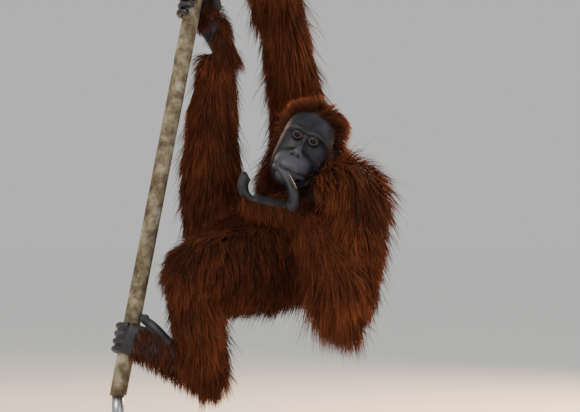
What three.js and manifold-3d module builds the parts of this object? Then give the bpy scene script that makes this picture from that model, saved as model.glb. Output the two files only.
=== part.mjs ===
// A life-size still model of an adult orangutan that hangs from a leaning trunk.
// The right arm and right leg reach up to the trunk, the left leg folds across the belly
// and grips the trunk low down, and the left hand is cupped under the chin.
// Millimetres. +X is to the right as seen from the front, +Y is away from the viewer, +Z is up.
// The origin is the centre of the stand's underside.
import * as THREE from 'three';
import { mergeVertices } from 'three/addons/utils/BufferGeometryUtils.js';
import Module from 'manifold-3d';

const wasm = await Module();
wasm.setup();

const v = (x, y, z) => new THREE.Vector3(x, y, z);
const mix = THREE.MathUtils.lerp;
const turn = THREE.MathUtils.degToRad;

// Sizes shared by the whole model
const GAP = 0.4; // between neighbouring pieces
const DOWN = v(0, 0, -1);
const BASE = { length: 900, depth: 800, thick: 30, corner: 70, bevel: 4 };
const ROD_RADIUS = 16;
const TRUNK_RADIUS = 23;

// Landmarks of the pose
const TRUNK_LOW = v(-343, -188, 230);
const TRUNK_TOP = v(-55, 132, 1817);
const PELVIS = v(-10, -28, 581);
const NECK_BASE = v(207, 126, 767);
const BETWEEN_EYES = v(149, 3, 909);
const LEFT = { shoulder: v(275, -15, 762), elbow: v(258, -215, 478), wrist: v(129, -70, 699) };
LEFT.hip = v(32, -92, 579);
LEFT.knee = v(-160, -235, 552);
LEFT.ankle = v(-120, -206, 307);
const RIGHT = { shoulder: v(142, 256, 850), elbow: v(90, 255, 1232), wrist: v(-22, 150, 1560) };
RIGHT.hip = v(-66, 45, 606);
RIGHT.knee = v(-107, 52, 872);
RIGHT.ankle = v(-90, 56, 1125);

// The head's own directions: to the animal's left, forward out of the face, and up
const HEAD_LEFT = v(0.895, -0.17, -0.41).normalize();
const HEAD_FORWARD = v(-0.19, -0.98, 0).projectOnPlane(HEAD_LEFT).normalize();
const HEAD_UP = HEAD_FORWARD.clone().cross(HEAD_LEFT);
const onHead = (left, forward, up) => BETWEEN_EYES.clone()
  .addScaledVector(HEAD_LEFT, left)
  .addScaledVector(HEAD_FORWARD, forward)
  .addScaledVector(HEAD_UP, up);

// The trunk's axis, and points round it: 0 degrees is to the right, 90 at the back, 270 in front
const TRUNK_AXIS = TRUNK_TOP.clone().sub(TRUNK_LOW).normalize();
const TRUNK_RIGHT = v(1, 0, 0).projectOnPlane(TRUNK_AXIS).normalize();
const TRUNK_BACK = TRUNK_AXIS.clone().cross(TRUNK_RIGHT);
function roundTrunk(height, degrees, radius) {
  const along = (height - TRUNK_LOW.z) / TRUNK_AXIS.z;
  return TRUNK_LOW.clone()
    .addScaledVector(TRUNK_AXIS, along)
    .addScaledVector(TRUNK_RIGHT, radius * Math.cos(turn(degrees)))
    .addScaledVector(TRUNK_BACK, radius * Math.sin(turn(degrees)));
}

// Seeded random numbers
let seed = 20;
function random(low, high) {
  seed = (seed * 1664525 + 1013904223) % 4294967296;
  return mix(low, high, seed / 4294967296);
}

// Solids: closed meshes that can be joined and cut
function solid(points, triangles) {
  const mesh = new wasm.Mesh({
    numProp: 3,
    vertProperties: new Float32Array(points.flatMap((p) => [p.x, p.y, p.z])),
    triVerts: new Uint32Array(triangles.flat()),
  });
  return new wasm.Manifold(mesh);
}

function solidOf(geometry) {
  geometry.deleteAttribute('normal');
  geometry.deleteAttribute('uv');
  const merged = mergeVertices(geometry, 1e-4);
  const mesh = new wasm.Mesh({
    numProp: 3,
    vertProperties: new Float32Array(merged.attributes.position.array),
    triVerts: new Uint32Array(merged.index.array),
  });
  return new wasm.Manifold(mesh);
}

const join = (solids) => wasm.Manifold.union(solids);

// The largest closed surface of a shape, with slivers thinner than CLEAN taken up by their neighbours
const CLEAN = 0.03;
function largest(shape) {
  const pieces = shape.simplify(CLEAN).decompose();
  return pieces.reduce((best, piece) => (piece.volume() > best.volume() ? piece : best));
}

// An ellipsoid with its half sizes along three directions
function egg(centre, directions, halves, sides = 12) {
  const ball = new THREE.SphereGeometry(1, sides, Math.max(6, Math.round(sides * 0.66)));
  const [a, b, c] = directions.map((d, i) => d.clone().multiplyScalar(halves[i]));
  a.multiplyScalar(Math.sign(a.clone().cross(b).dot(c)));
  ball.applyMatrix4(new THREE.Matrix4().makeBasis(a, b, c).setPosition(centre));
  return solidOf(ball);
}

const HEAD_WAYS = [HEAD_LEFT, HEAD_FORWARD, HEAD_UP];
const headEgg = (at, halves, sides) => egg(onHead(...at), HEAD_WAYS, halves, sides);

// A form lofted along a smooth line through stations [point, half width, half depth]
class Form {
  constructor(stations, { side, rings = 6, sides = 10, square = 2, caps = [0.8, 0.8], upright = null }) {
    Object.assign(this, { rings, sides, square, caps });
    this.path = new THREE.CatmullRomCurve3(stations.map(([at]) => at), false, 'centripetal');
    this.sizes = new THREE.CatmullRomCurve3(stations.map(([, wide, deep]) => v(wide, deep, 0)));
    this.side = side;
    this.upright = upright;
    this.samples = Array.from({ length: 17 }, (_, i) => this.station(i / 16));
  }

  // The ring at a share of the way along: centre, tangent, width and depth directions, half sizes
  station(share) {
    const centre = this.path.getPoint(share);
    const tangent = this.upright ?? this.path.getTangent(share);
    const wideWay = this.side.clone().projectOnPlane(tangent).normalize();
    const size = this.sizes.getPoint(share);
    return {
      centre, tangent, wideWay, deepWay: tangent.clone().cross(wideWay), wide: size.x, deep: size.y,
    };
  }

  ringPoint(ring, angle, scale = 1, grow = 0) {
    const bend = (x) => Math.sign(x) * Math.abs(x) ** (2 / this.square);
    return ring.centre.clone()
      .addScaledVector(ring.wideWay, (ring.wide + grow) * scale * bend(Math.cos(angle)))
      .addScaledVector(ring.deepWay, (ring.deep + grow) * scale * bend(Math.sin(angle)));
  }

  // A point on the surface, and the way out of it
  surface(share, degrees) {
    const ring = this.station(share);
    const angle = turn(degrees);
    const normal = v(0, 0, 0)
      .addScaledVector(ring.wideWay, Math.cos(angle) / ring.wide)
      .addScaledVector(ring.deepWay, Math.sin(angle) / ring.deep)
      .normalize();
    return { point: this.ringPoint(ring, angle), normal, ring };
  }

  // How far a point lies outside the surface, and the way out from there
  nearest(point) {
    let best = null;
    for (const ring of this.samples) {
      const away = point.clone().sub(ring.centre);
      const along = away.dot(ring.tangent);
      const x = away.dot(ring.wideWay);
      const y = away.dot(ring.deepWay);
      const flat = Math.hypot(x, y) || 1e-6;
      const reach = 1 / Math.hypot(x / flat / ring.wide, y / flat / ring.deep);
      const outside = Math.hypot(Math.max(flat - reach, 0), along) || flat - reach;
      const inside = flat < reach && Math.abs(along) < reach * 0.35;
      const depth = inside ? flat - reach : outside;
      if (!best || depth < best.outside) {
        const normal = away.clone().addScaledVector(ring.tangent, -along).normalize();
        best = { outside: depth, normal };
      }
    }
    return best;
  }

  solid(grow = 0) {
    const CAP_STEPS = [1, 0.82, 0.45];
    const points = [];
    const triangles = [];
    const addRing = (ring, scale, shift) => {
      for (let i = 0; i < this.sides; i += 1) {
        const angle = (2 * Math.PI * (i + 0.5)) / this.sides;
        points.push(this.ringPoint(ring, angle, scale, grow).addScaledVector(ring.tangent, shift));
      }
    };
    const capRings = (ring, height, sign) => CAP_STEPS.slice(1).map((scale) => (
      [ring, scale, sign * height * Math.sqrt(1 - scale * scale)]));
    const rings = Array.from({ length: this.rings + 1 }, (_, i) => this.station(i / this.rings));
    const heights = [rings[0], rings.at(-1)].map((r, i) => Math.min(r.wide, r.deep) * this.caps[i] + grow);
    const all = [
      ...capRings(rings[0], heights[0], -1).reverse(),
      ...rings.map((ring) => [ring, 1, 0]),
      ...capRings(rings.at(-1), heights[1], 1),
    ];
    all.forEach(([ring, scale, shift]) => addRing(ring, scale, shift));
    const at = (row, i) => row * this.sides + (i % this.sides);
    for (let row = 0; row + 1 < all.length; row += 1) {
      for (let i = 0; i < this.sides; i += 1) {
        triangles.push([at(row, i), at(row, i + 1), at(row + 1, i + 1)]);
        triangles.push([at(row, i), at(row + 1, i + 1), at(row + 1, i)]);
      }
    }
    const poles = [[rings[0], -heights[0]], [rings.at(-1), heights[1]]];
    const [low, high] = poles.map(([ring, shift]) => (
      points.push(ring.centre.clone().addScaledVector(ring.tangent, shift)) - 1));
    for (let i = 0; i < this.sides; i += 1) {
      triangles.push([low, at(0, i + 1), at(0, i)]);
      triangles.push([high, at(all.length - 1, i), at(all.length - 1, i + 1)]);
    }
    return solid(points, triangles);
  }
}

// A round tube through points, with one radius at each
function tube(points, radii, options) {
  const stations = points.map((p, i) => [p, radii[i], radii[i]]);
  return new Form(stations, { side: v(0, 0.2, 1), rings: 6, sides: 6, ...options });
}

// Torso: a curled barrel from the rump to the base of the neck
const ACROSS = v(0.486, -0.874, 0); // from the right shoulder to the left
const torso = new Form([
  [v(-62, -52, 566), 100, 82],
  [PELVIS, 132, 106],
  [v(70, 16, 601), 148, 124],
  [v(141, 68, 655), 158, 126],
  [v(186, 108, 718), 150, 108],
  [NECK_BASE, 96, 84],
], { side: ACROSS, rings: 10, sides: 14, caps: [0.7, 0.5] });

const neck = new Form([
  [v(205, 122, 780), 82, 78],
  [v(199, 102, 830), 72, 70],
  [onHead(0, -95, -22), 70, 68],
], { side: ACROSS, rings: 3, sides: 10, caps: [0.6, 0.6] });

// Arms and legs, from the root in the torso outwards
const limbs = {
  upper_arm_left: new Form([
    [v(214, 42, 732), 84, 84],
    [LEFT.shoulder, 74, 76],
    [v(280, -85, 662), 66, 68],
    [v(271, -152, 560), 57, 60],
    [LEFT.elbow, 50, 52],
  ], { side: v(0.6, 0.75, 0.1) }),
  forearm_left: new Form([
    [LEFT.elbow, 40, 42],
    [v(218, -170, 546), 56, 56],
    [v(172, -116, 628), 45, 44],
    [LEFT.wrist, 34, 27],
  ], { side: v(0, 1, 0.2), caps: [0.9, 0.5] }),
  upper_arm_right: new Form([
    [v(128, 205, 745), 84, 80],
    [RIGHT.shoulder, 78, 76],
    [v(128, 262, 1000), 62, 60],
    [v(108, 260, 1120), 55, 54],
    [RIGHT.elbow, 48, 48],
  ], { side: v(1, 0, 0) }),
  forearm_right: new Form([
    [RIGHT.elbow, 38, 38],
    [v(64, 232, 1320), 53, 52],
    [v(20, 190, 1450), 42, 40],
    [RIGHT.wrist, 33, 26],
  ], { side: v(0, 0.3, 1), caps: [0.9, 0.5] }),
  thigh_left: new Form([
    [v(48, -62, 588), 96, 92],
    [LEFT.hip, 92, 90],
    [v(-50, -165, 566), 86, 84],
    [v(-118, -212, 560), 70, 72],
    [LEFT.knee, 58, 60],
  ], { side: v(0, 0, 1) }),
  shank_left: new Form([
    [LEFT.knee, 46, 48],
    [v(-138, -226, 470), 52, 58],
    [v(-126, -214, 385), 42, 48],
    [LEFT.ankle, 32, 36],
  ], { side: v(0, 1, 0), caps: [0.9, 0.6] }),
  thigh_right: new Form([
    [v(-38, 28, 588), 84, 88],
    [v(-72, 44, 650), 80, 84],
    [v(-98, 52, 765), 68, 72],
    [RIGHT.knee, 56, 58],
  ], { side: v(0, 1, 0) }),
  shank_right: new Form([
    [RIGHT.knee, 44, 46],
    [v(-104, 54, 955), 52, 54],
    [v(-96, 55, 1045), 40, 42],
    [RIGHT.ankle, 31, 33],
  ], { side: v(0, 1, 0), caps: [0.9, 0.6] }),
};

// Hands and feet. A grip wraps its digits round the trunk: each is an arc that keeps its own radius
// off the bark, so the fingers meet the wood all the way round.
const DIGIT = { radius: 9.5, taper: 0.3, pitch: 20, steps: 7, rootLift: 2, shorter: [14, 0, 6, 26] };
const evenly = (from, to, count) => Array.from({ length: count }, (_, i) => mix(from, to, i / (count - 1)));

function wrappedDigit(height, from, to) {
  const reach = TRUNK_RADIUS + DIGIT.radius + GAP * 2;
  const angles = evenly(from, to, DIGIT.steps);
  const points = angles.map((a, i) => roundTrunk(height, a, reach + (i === 0 ? DIGIT.rootLift : 0)));
  return tube(points, angles.map((_, i) => DIGIT.radius - i * DIGIT.taper), { caps: [0.6, 0.9] });
}

// Four digits side by side, tallest in the middle, and a thumb or great toe that opposes them
function grip({ palm, height, from, to, thumb, way }) {
  const forms = [palm];
  for (let i = 0; i < 4; i += 1) {
    const end = to - way * DIGIT.shorter[i];
    forms.push(wrappedDigit(height + (1.5 - i) * DIGIT.pitch, from, end));
  }
  forms.push(thumb);
  return forms;
}

const GRIP_LEG_LEFT = 374;
const GRIP_LEG_RIGHT = 1272;
const GRIP_ARM_RIGHT = 1668;
const PALM_REACH = TRUNK_RADIUS + 17;

const extremities = {
  foot_left: grip({
    palm: new Form([
      [v(-88, -206, 272), 27, 26],
      [v(-126, -212, 290), 34, 27],
      [v(-186, -217, 322), 39, 22],
      [v(-240, -214, 352), 42, 18],
      [roundTrunk(GRIP_LEG_LEFT, 272, PALM_REACH + 1), 42, 15],
    ], { side: v(0.15, 0, 1), rings: 6, sides: 10, caps: [0.8, 0.7] }),
    height: GRIP_LEG_LEFT,
    from: 262,
    to: 95,
    way: -1,
    thumb: tube([
      v(-206, -222, 366),
      v(-242, -212, 406),
      roundTrunk(430, 318, TRUNK_RADIUS + 16),
      roundTrunk(435, 350, TRUNK_RADIUS + 12),
      roundTrunk(438, 384, TRUNK_RADIUS + 11),
    ], [13, 12, 11, 10, 9]),
  }),
  foot_right: grip({
    palm: new Form([
      [v(-66, 64, 1128), 27, 26],
      [v(-80, 68, 1158), 33, 27],
      [v(-98, 72, 1205), 38, 22],
      [v(-112, 68, 1246), 41, 18],
      [roundTrunk(GRIP_LEG_RIGHT, 82, PALM_REACH + 1), 41, 15],
    ], { side: v(-0.5, 0, 1), rings: 6, sides: 10, caps: [0.8, 0.7] }),
    height: GRIP_LEG_RIGHT,
    from: 100,
    to: 278,
    way: 1,
    thumb: tube([
      v(-92, 62, 1268),
      v(-96, 36, 1300),
      roundTrunk(1322, 344, TRUNK_RADIUS + 16),
      roundTrunk(1328, 318, TRUNK_RADIUS + 12),
      roundTrunk(1332, 284, TRUNK_RADIUS + 11),
    ], [13, 12, 11, 10, 9]),
  }),
  hand_right: grip({
    palm: new Form([
      [RIGHT.wrist, 32, 25],
      [v(-36, 150, 1598), 38, 23],
      [v(-56, 146, 1634), 42, 19],
      [roundTrunk(GRIP_ARM_RIGHT, 84, PALM_REACH + 1), 42, 15],
    ], { side: v(-0.5, 0, 1), rings: 5, sides: 10, caps: [0.6, 0.7] }),
    height: GRIP_ARM_RIGHT,
    from: 100,
    to: 292,
    way: 1,
    thumb: tube([
      v(-34, 138, 1660),
      v(-32, 112, 1690),
      roundTrunk(1716, 346, TRUNK_RADIUS + 15),
      roundTrunk(1722, 320, TRUNK_RADIUS + 11),
      roundTrunk(1726, 294, TRUNK_RADIUS + 10),
    ], [11, 10.5, 10, 9, 8]),
  }),
};

// The left hand is cupped: the palm faces up and the fingers curl up at the far end. The fingers share
// one curl, seen from the front, which each follows over its own length.
const CUP = {
  knuckle: v(24, -96, 738), spacing: 22.5, gather: 0.12, towards: -92, long: [0.92, 1, 0.97, 0.84],
};
const CURL = [[24, 738], [0, 743], [-17, 763], [-21, 788], [-13, 810]];
function cuppedHand() {
  const palm = new Form([
    [LEFT.wrist, 32, 26],
    [v(92, -86, 714), 42, 27],
    [v(50, -94, 727), 46, 22],
    [v(16, -96, 740), 46, 17],
  ], { side: v(0, 1, 0), rings: 6, sides: 10, caps: [0.6, 0.7] });
  const fingers = [0, 1, 2, 3].map((i) => {
    const y = mix(CUP.knuckle.y - (1.5 - i) * CUP.spacing, CUP.towards, CUP.gather);
    const start = v(CUP.knuckle.x, y, CUP.knuckle.z);
    const points = CURL.map(([x, z]) => start.clone().lerp(v(x, y, z), CUP.long[i]));
    return tube(points, [12.5, 12, 11.5, 11, 9.5]);
  });
  const thumb = tube([
    v(112, -104, 718),
    v(118, -118, 750),
    v(108, -112, 785),
    v(92, -94, 812),
    v(78, -76, 832),
  ], [18, 15, 12.5, 11, 9]);
  return [palm, ...fingers, thumb];
}
extremities.hand_left = cuppedHand();

// The head: a broad face under a domed skull, widest at the cheeks, over a full throat
const HEAD_PROFILE = [ // up, front, back, half width
  [-158, -18, -52, 34],
  [-140, -2, -72, 56],
  [-112, 8, -94, 70],
  [-78, 8, -118, 76],
  [-42, 0, -134, 77],
  [-8, -6, -144, 76],
  [18, 4, -148, 74],
  [42, -8, -145, 70],
  [64, -26, -132, 60],
  [82, -52, -108, 38],
];
const skull = new Form(HEAD_PROFILE.map(([up, front, back, half]) => (
  [onHead(0, (front + back) / 2, up), half, (front - back) / 2]
)), {
  side: HEAD_LEFT, upright: HEAD_UP, rings: 11, sides: 16, square: 2.3, caps: [0.5, 0.35],
});
const muzzle = new Form([
  [onHead(0, -30, -74), 56, 46],
  [onHead(0, 0, -78), 55, 42],
  [onHead(0, 22, -82), 50, 37],
  [onHead(0, 40, -86), 42, 31],
  [onHead(0, 52, -89), 32, 24],
], { side: HEAD_LEFT, rings: 5, sides: 14, caps: [0.8, 0.45] });
const LIP_RADII = [5, 7, 8, 8.5, 8, 7, 5];
const lipArc = (up, forward) => [-1, -0.8, -0.4, 0, 0.4, 0.8, 1].map((s) => (
  onHead(44 * Math.sin(s * 1.45), forward - 36 * (1 - Math.cos(s * 1.45)) ** 0.9, up)));
const noseLine = [onHead(0, -4, 4), onHead(0, 4, -18), onHead(0, 22, -42)];
const noseBridge = tube(noseLine, [6, 7, 12], { rings: 3 });
const EYE = { apart: 48, radius: 11.5, sunk: 8, lid: 15, wide: 11, high: 6.2 };
const eyeAt = (s) => onHead((s * EYE.apart) / 2, -EYE.sunk, 0);
const eyeRound = (s, radius) => egg(eyeAt(s), HEAD_WAYS, [radius, radius, radius], 10);
const earAt = (s) => onHead(s * 77, -84, -8);

function earSolid(s, grow = 0) {
  const out = HEAD_LEFT.clone().multiplyScalar(s);
  const shell = egg(earAt(s), [out, HEAD_FORWARD, HEAD_UP], [10 + grow, 15 + grow, 22 + grow], 10);
  if (grow) return shell;
  const cup = egg(earAt(s).addScaledVector(out, 9), [out, HEAD_FORWARD, HEAD_UP], [9, 9, 14], 8);
  return shell.subtract(cup);
}

function headSolid(grow = 0) {
  const sides = [-1, 1];
  const flesh = [
    skull.solid(grow),
    muzzle.solid(grow),
    tube(lipArc(-84, 62), LIP_RADII).solid(grow),
    tube(lipArc(-102, 56), LIP_RADII).solid(grow),
    headEgg([0, 34, -114], [30 + grow, 26 + grow, 22 + grow], 10),
    noseBridge.solid(grow),
    ...sides.map((s) => headEgg([s * 9, 26, -47], [8.5 + grow, 8.5 + grow, 8 + grow], 8)),
    ...sides.map((s) => tube([
      onHead(s * 4, 0, 16), onHead(s * 24, 4, 20), onHead(s * 46, -7, 13), onHead(s * 60, -24, -3),
    ], [7, 7.5, 7, 5], { rings: 5 }).solid(grow)),
    ...sides.map((s) => eyeRound(s, EYE.lid + grow)),
  ];
  if (grow) return join(flesh);
  const openings = [
    ...sides.map((s) => (
      egg(eyeAt(s).addScaledVector(HEAD_FORWARD, EYE.lid), HEAD_WAYS, [EYE.wide, EYE.radius, EYE.high]))),
    ...sides.map((s) => headEgg([s * 8, 35, -48], [4.5, 8, 4.5], 8)),
    headEgg([0, 46, -93], [41, 34, 2.6], 10),
  ];
  return join(flesh).subtract(join(openings));
}

// The coat: flat tapered locks, three-sided in section, that leave the skin along the lie and then hang
const COAT = { sunk: 9, lift: 5, thick: 7 };
const TIP_CLEARANCE = 8; // a sharp tip is cleared by this many gaps
const LOCK_SHAPE = [[0.75, 1], [1, 1], [0.72, 0.8]]; // width and thickness at each ring, as shares

class Lock {
  constructor(root, lie, { length, width, droop, rise }, own, others) {
    this.width = width;
    this.points = [root.point.clone().addScaledVector(root.normal, -COAT.sunk)];
    this.faces = [root.normal];
    let way = lie.clone().addScaledVector(root.normal, rise).normalize();
    for (let k = 1; k <= LOCK_SHAPE.length; k += 1) {
      const p = this.points.at(-1).clone().addScaledVector(way, (length + (k === 1 ? COAT.sunk : 0)) / 3);
      const home = own.nearest(p);
      const wanted = COAT.lift * k;
      if (home.outside < wanted) p.addScaledVector(home.normal, wanted - home.outside);
      for (const other of others) {
        const near = other.nearest(p);
        if (near.outside < COAT.thick) p.addScaledVector(near.normal, COAT.thick - near.outside);
      }
      this.points.push(p);
      this.faces.push(home.normal);
      way = way.addScaledVector(DOWN, (droop * k) / 3).normalize();
    }
  }

  solid(grow = 0) {
    const points = [];
    const ways = this.points.map((p, k) => (
      this.points[Math.min(k + 1, 3)].clone().sub(this.points[Math.max(k - 1, 0)]).normalize()));
    LOCK_SHAPE.forEach(([wide, thick], k) => {
      const across = ways[k].clone().cross(this.faces[k]).normalize();
      const out = across.clone().cross(ways[k]).normalize();
      const halfThick = (COAT.thick * thick) / 2 + grow;
      const halfWide = (this.width * wide * halfThick) / (COAT.thick * thick);
      const middle = this.points[k].clone().addScaledVector(ways[k], k ? 0 : -grow);
      const under = middle.clone().addScaledVector(out, -halfThick);
      points.push(under.clone().addScaledVector(across, halfWide));
      points.push(under.addScaledVector(across, -halfWide));
      points.push(middle.addScaledVector(out, halfThick));
    });
    points.push(this.points[3].clone().addScaledVector(ways[3], grow * TIP_CLEARANCE));
    const triangles = [[0, 2, 1]];
    for (let row = 0; row < LOCK_SHAPE.length - 1; row += 1) {
      for (let i = 0; i < 3; i += 1) {
        const [a, b] = [row * 3 + i, row * 3 + ((i + 1) % 3)];
        triangles.push([a, b, b + 3], [a, b + 3, a + 3]);
      }
    }
    for (let i = 0; i < 3; i += 1) triangles.push([6 + i, 6 + ((i + 1) % 3), 9]);
    const made = solid(points, triangles);
    return made.volume() > 0 ? made : null;
  }
}

// Bodies by node: the forms that the coat clears, the core, and the core grown for cutting its neighbours
const trunkForm = tube([TRUNK_LOW, TRUNK_TOP], [TRUNK_RADIUS, TRUNK_RADIUS], { rings: 1 });
const OVERRUN = 0.02; // the share of its length that the log runs past each level saw cut
function trunkSolid(grow = 0) {
  const places = evenly(-OVERRUN, 1 + OVERRUN, 6).map((share) => TRUNK_LOW.clone().lerp(TRUNK_TOP, share));
  const log = new Form(places.map((p) => [p, TRUNK_RADIUS, TRUNK_RADIUS]), {
    side: v(1, 0, 0), rings: 5, sides: 14, caps: [0.01, 0.01],
  }).solid(grow);
  const tall = TRUNK_TOP.z - TRUNK_LOW.z;
  const slab = new THREE.BoxGeometry(600, 600, tall + 2 * grow);
  slab.translate(-200, 0, TRUNK_LOW.z + tall / 2);
  return log.intersect(solidOf(slab));
}

const bodies = { perch_trunk: { forms: [trunkForm], core: trunkSolid } };
const addBody = (name, forms, core) => {
  bodies[name] = { forms, core: core ?? ((grow) => join(forms.map((f) => f.solid(grow)))) };
};
addBody('eye_left', [], (grow) => eyeRound(1, EYE.radius + grow));
addBody('eye_right', [], (grow) => eyeRound(-1, EYE.radius + grow));
addBody('head', [skull, muzzle], headSolid);
addBody('ear_left', [], (grow) => earSolid(1, grow));
addBody('ear_right', [], (grow) => earSolid(-1, grow));
for (const name of ['hand_left', 'hand_right', 'foot_left', 'foot_right']) addBody(name, extremities[name]);
addBody('torso', [torso]);
addBody('neck', [neck]);
for (const name of Object.keys(limbs)) addBody(name, [limbs[name]]);

// The plain forms and their coat are cut clear of one another, in the order above
function clearCuts(coats) {
  const names = Object.keys(bodies);
  const grown = names.map((name) => bodies[name].core(GAP));
  const grownCoats = names.map((name) => (coats[name] ?? []).map((lock) => lock.solid(GAP)).filter(Boolean));
  return names.map((name, i) => {
    const before = grown.slice(0, i);
    const flesh = before.length ? bodies[name].core(0).subtract(join(before)) : bodies[name].core(0);
    const locks = (coats[name] ?? []).map((lock) => lock.solid()).filter(Boolean);
    if (!locks.length) return [name, largest(flesh)];
    const inTheWay = [...grown.filter((_, j) => j !== i), ...grownCoats.slice(0, i).flat()];
    const coat = join(locks).subtract(join(inTheWay));
    return [name, largest(join([flesh, coat]))];
  });
}

// Stand: a flat base with rounded corners, and a rod up to the trunk's cut end
function baseGeometry() {
  const { length, depth, thick, corner, bevel } = BASE;
  const [x, y] = [length / 2 - bevel, depth / 2 - bevel];
  const outline = new THREE.Shape();
  outline.absarc(x - corner, y - corner, corner, 0, Math.PI / 2);
  outline.absarc(-x + corner, y - corner, corner, Math.PI / 2, Math.PI);
  outline.absarc(-x + corner, -y + corner, corner, Math.PI, 1.5 * Math.PI);
  outline.absarc(x - corner, -y + corner, corner, 1.5 * Math.PI, 2 * Math.PI);
  return new THREE.ExtrudeGeometry(outline, {
    depth: thick - 2 * bevel, bevelThickness: bevel, bevelSize: bevel, bevelSegments: 1, curveSegments: 4,
  }).translate(0, 0, bevel);
}

function rodGeometry() {
  const top = TRUNK_LOW.z - GAP;
  const rod = new THREE.CylinderGeometry(ROD_RADIUS, ROD_RADIUS, top - BASE.thick - GAP, 16);
  rod.rotateX(Math.PI / 2);
  return rod.translate(TRUNK_LOW.x, TRUNK_LOW.y, (top + BASE.thick + GAP) / 2);
}

// Finishes
const finish = (color, roughness, metalness = 0) => (
  new THREE.MeshStandardMaterial({ color, roughness, metalness }));
const COAT_RED = finish(0x8a4526, 0.75);
const SKIN_GREY = finish(0x4a4644, 0.6);
const FINISHES = {
  perch_trunk: finish(0x6b6048, 0.9),
  eye_left: finish(0x2a1a10, 0.1),
  eye_right: finish(0x2a1a10, 0.1),
  head: SKIN_GREY,
  ear_left: SKIN_GREY,
  ear_right: SKIN_GREY,
  hand_left: SKIN_GREY,
  hand_right: SKIN_GREY,
  foot_left: SKIN_GREY,
  foot_right: SKIN_GREY,
};

// Where a surface touches itself at a corner, one of the two corners is drawn in by this much
const DRAWN_IN = 0.05;
function partTouching(geometry) {
  const { position, normal } = geometry.attributes;
  const seen = new Set();
  for (let i = 0; i < position.count; i += 1) {
    const p = v().fromBufferAttribute(position, i);
    const key = p.toArray().map((x) => Math.round(x / CLEAN)).join();
    if (seen.has(key)) p.addScaledVector(v().fromBufferAttribute(normal, i), -DRAWN_IN);
    seen.add(key);
    position.setXYZ(i, p.x, p.y, p.z);
  }
}

function geometryOf(shape) {
  const mesh = shape.getMesh();
  const geometry = new THREE.BufferGeometry();
  geometry.setAttribute('position', new THREE.BufferAttribute(new Float32Array(mesh.vertProperties), 3));
  geometry.setIndex(new THREE.BufferAttribute(new Uint32Array(mesh.triVerts), 1));
  geometry.computeVertexNormals();
  partTouching(geometry);
  return geometry;
}

const model = new THREE.Group();
function add(name, geometry, material) {
  const mesh = new THREE.Mesh(geometry, material);
  mesh.name = name;
  model.add(mesh);
}

// Where the locks grow: rows along a form and locks across a row, on the side that a row faces
const along = (form, sign) => (share) => form.station(share).tangent.clone().multiplyScalar(sign);
const lean = (way, more) => (share) => way(share).add(more);
const hang = () => DOWN.clone();
const swept = () => HEAD_FORWARD.clone().multiplyScalar(-1).addScaledVector(HEAD_UP, -0.7);
const BACK_SIDE = v(0.45, 0.25, -0.85);
const COATS = [
  { node: 'head', form: skull, from: 0.5, to: 0.96, rows: 3, count: 6, towards: HEAD_FORWARD.clone().negate(),
    spread: 130, length: 70, width: 46, lie: swept, rise: 0.6 },
  { node: 'head', form: skull, from: 0.2, to: 0.48, rows: 2, count: 5, towards: HEAD_FORWARD.clone().negate(),
    spread: 122, length: 92, width: 48, lie: hang, rise: 0.7 },
  { node: 'neck', form: neck, from: 0.1, to: 0.7, rows: 2, count: 4, towards: v(0.8, -0.3, -0.3),
    spread: 110, length: 130, width: 56, lie: hang },
  { node: 'torso', form: torso, from: 0.03, to: 0.97, rows: 5, count: 5, towards: BACK_SIDE,
    spread: 100, length: 140, width: 66, lie: lean(along(torso, -0.5), DOWN) },
  { node: 'upper_arm_left', form: limbs.upper_arm_left, from: 0.2, to: 0.97, rows: 4, count: 5,
    towards: v(0.8, -0.6, 0.1), spread: 150, length: 135, width: 54,
    lie: lean(along(limbs.upper_arm_left, 1), DOWN) },
  { node: 'forearm_left', form: limbs.forearm_left, from: 0.12, to: 0.97, rows: 4, count: 4,
    towards: v(-0.4, -0.5, -0.7), spread: 150, length: 120, width: 50, lie: along(limbs.forearm_left, -1) },
  { node: 'upper_arm_right', form: limbs.upper_arm_right, from: 0.2, to: 0.97, rows: 4, count: 4,
    towards: v(0.7, 0.5, 0), spread: 180, length: 150, width: 48, lie: hang },
  { node: 'forearm_right', form: limbs.forearm_right, from: 0.1, to: 0.9, rows: 3, count: 4,
    towards: v(0.7, 0.5, 0), spread: 180, length: 135, width: 46, lie: along(limbs.forearm_right, -1) },
  { node: 'thigh_left', form: limbs.thigh_left, from: 0.1, to: 0.95, rows: 3, count: 5,
    towards: v(0, -0.6, -0.8), spread: 150, length: 115, width: 60,
    lie: lean(along(limbs.thigh_left, 0.6), DOWN) },
  { node: 'shank_left', form: limbs.shank_left, from: 0.05, to: 1, rows: 4, count: 4,
    towards: v(0.8, -0.6, 0), spread: 150, length: 130, width: 50,
    lie: lean(along(limbs.shank_left, 1), DOWN) },
  { node: 'thigh_right', form: limbs.thigh_right, from: 0.25, to: 0.95, rows: 3, count: 4,
    towards: v(0.3, 0.6, 0), spread: 160, length: 125, width: 52, lie: hang },
  { node: 'shank_right', form: limbs.shank_right, from: 0.1, to: 0.95, rows: 3, count: 4,
    towards: v(0.3, 0.6, 0), spread: 170, length: 140, width: 46, lie: hang },
];

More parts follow.
